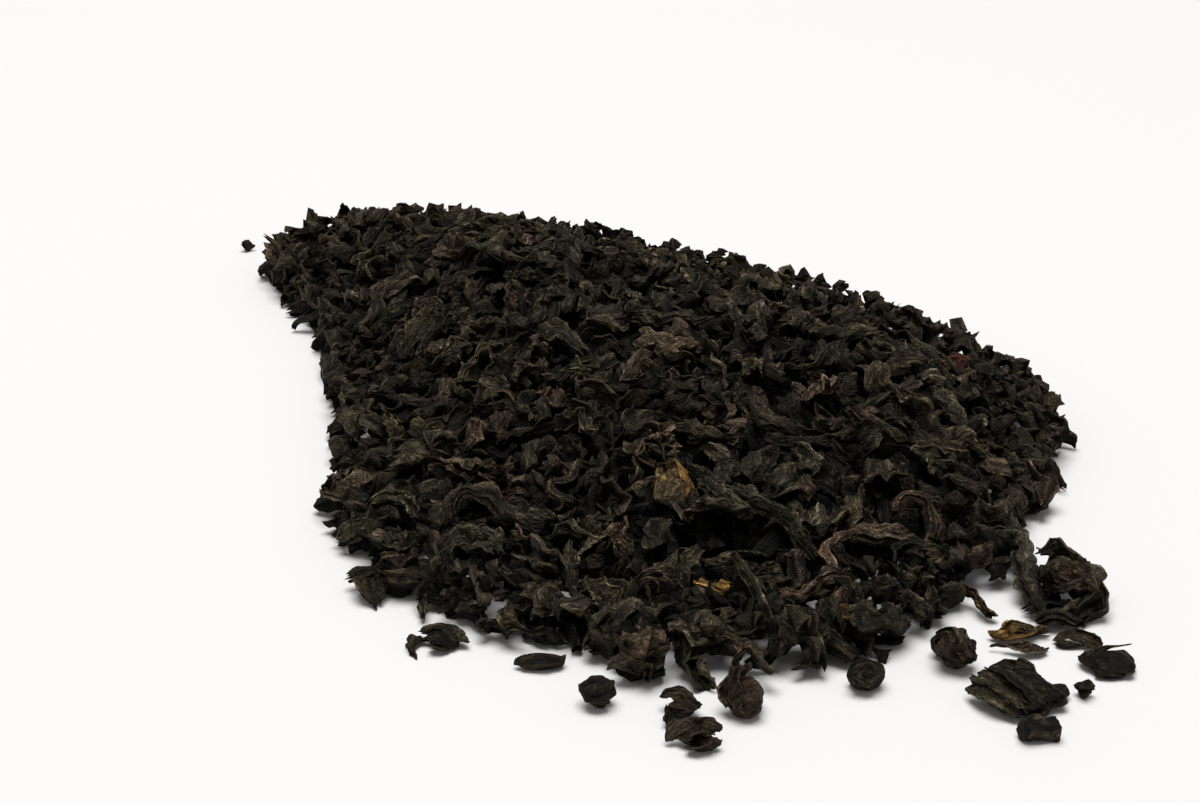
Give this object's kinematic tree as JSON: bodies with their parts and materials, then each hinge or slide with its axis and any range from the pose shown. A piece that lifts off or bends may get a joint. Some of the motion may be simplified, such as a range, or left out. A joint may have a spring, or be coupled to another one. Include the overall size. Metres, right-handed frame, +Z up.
{
  "type": "heap of loose black tea",
  "caption": "Low spread heap of dry, twisted black tea leaves on a bare surface, high at the back and thinning to a ragged front edge with single rolled leaves lying apart.",
  "frame": {"origin": "the middle of the whole footprint, on the surface the heap lies on", "axes": "+Z up; +Y from the thin front edge to the high back of the heap, its longest extent; +X to the right seen from the front"},
  "size_m": [0.0938, 0.1246, 0.0148],
  "materials": {
    "black_leaf": "matt, finely wrinkled",
    "golden_stem": "satin"
  },
  "bodies": {
    "root": {"tea_heap": "black_leaf", "front_flake": "black_leaf", "front_pellet": "black_leaf", "front_hook": "black_leaf", "front_knot": "black_leaf", "rolled_leaf": "black_leaf", "left_leaf": "black_leaf", "left_fold": "black_leaf", "oval_chip": "black_leaf", "right_pellet": "black_leaf", "right_clump": "black_leaf", "right_block": "black_leaf", "right_crumb": "black_leaf", "right_curl": "black_leaf", "right_twist": "black_leaf", "low_curl": "black_leaf", "golden_stem": "golden_stem", "back_crumb": "black_leaf"}
  },
  "joints": []
}
